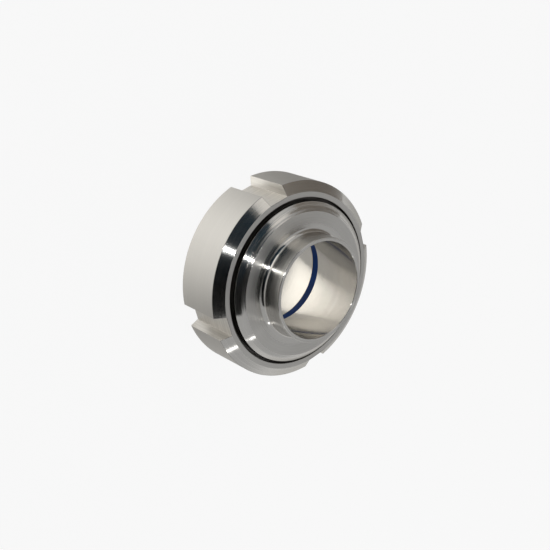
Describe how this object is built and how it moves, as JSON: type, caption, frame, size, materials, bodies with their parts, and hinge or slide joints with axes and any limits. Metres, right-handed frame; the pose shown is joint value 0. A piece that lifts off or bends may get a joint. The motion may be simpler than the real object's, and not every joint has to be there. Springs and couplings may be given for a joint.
{
  "type": "sanitary union",
  "caption": "Pipe union with weld ends: a slotted ring nut on a collared liner draws a round-threaded end onto a rubber seal ring in a smooth bore.",
  "frame": {"origin": "centre of the liner's weld face, the lowest face of the part", "axes": "+Z along the pipe axis, from the liner towards the threaded end; +X through one spanner slot"},
  "size_m": [0.0774, 0.0774, 0.047],
  "materials": {
    "turned_steel": "satin turned stainless steel with polished bands",
    "seal_rubber": "smooth matt blue rubber"
  },
  "bodies": {
    "liner": {"collared_liner": "turned_steel"},
    "nut": {"slotted_nut": "turned_steel"},
    "upper_end": {"threaded_end": "turned_steel", "seal_ring": "seal_rubber"}
  },
  "joints": [
    {"name": "nut_turn", "type": "hinge", "parent": "liner", "child": "nut", "pos_m": [0, 0, 0.013], "axis": [0, 0, -1], "range_deg": [0, 1080]},
    {"name": "end_lift", "type": "slide", "parent": "liner", "child": "upper_end", "axis": [0, 0, 1], "range_m": [0, 0.0127]}
  ],
  "couplings": [
    {"joint": "end_lift", "follows": "nut_turn", "m_per_rad": 0.00067375}
  ]
}
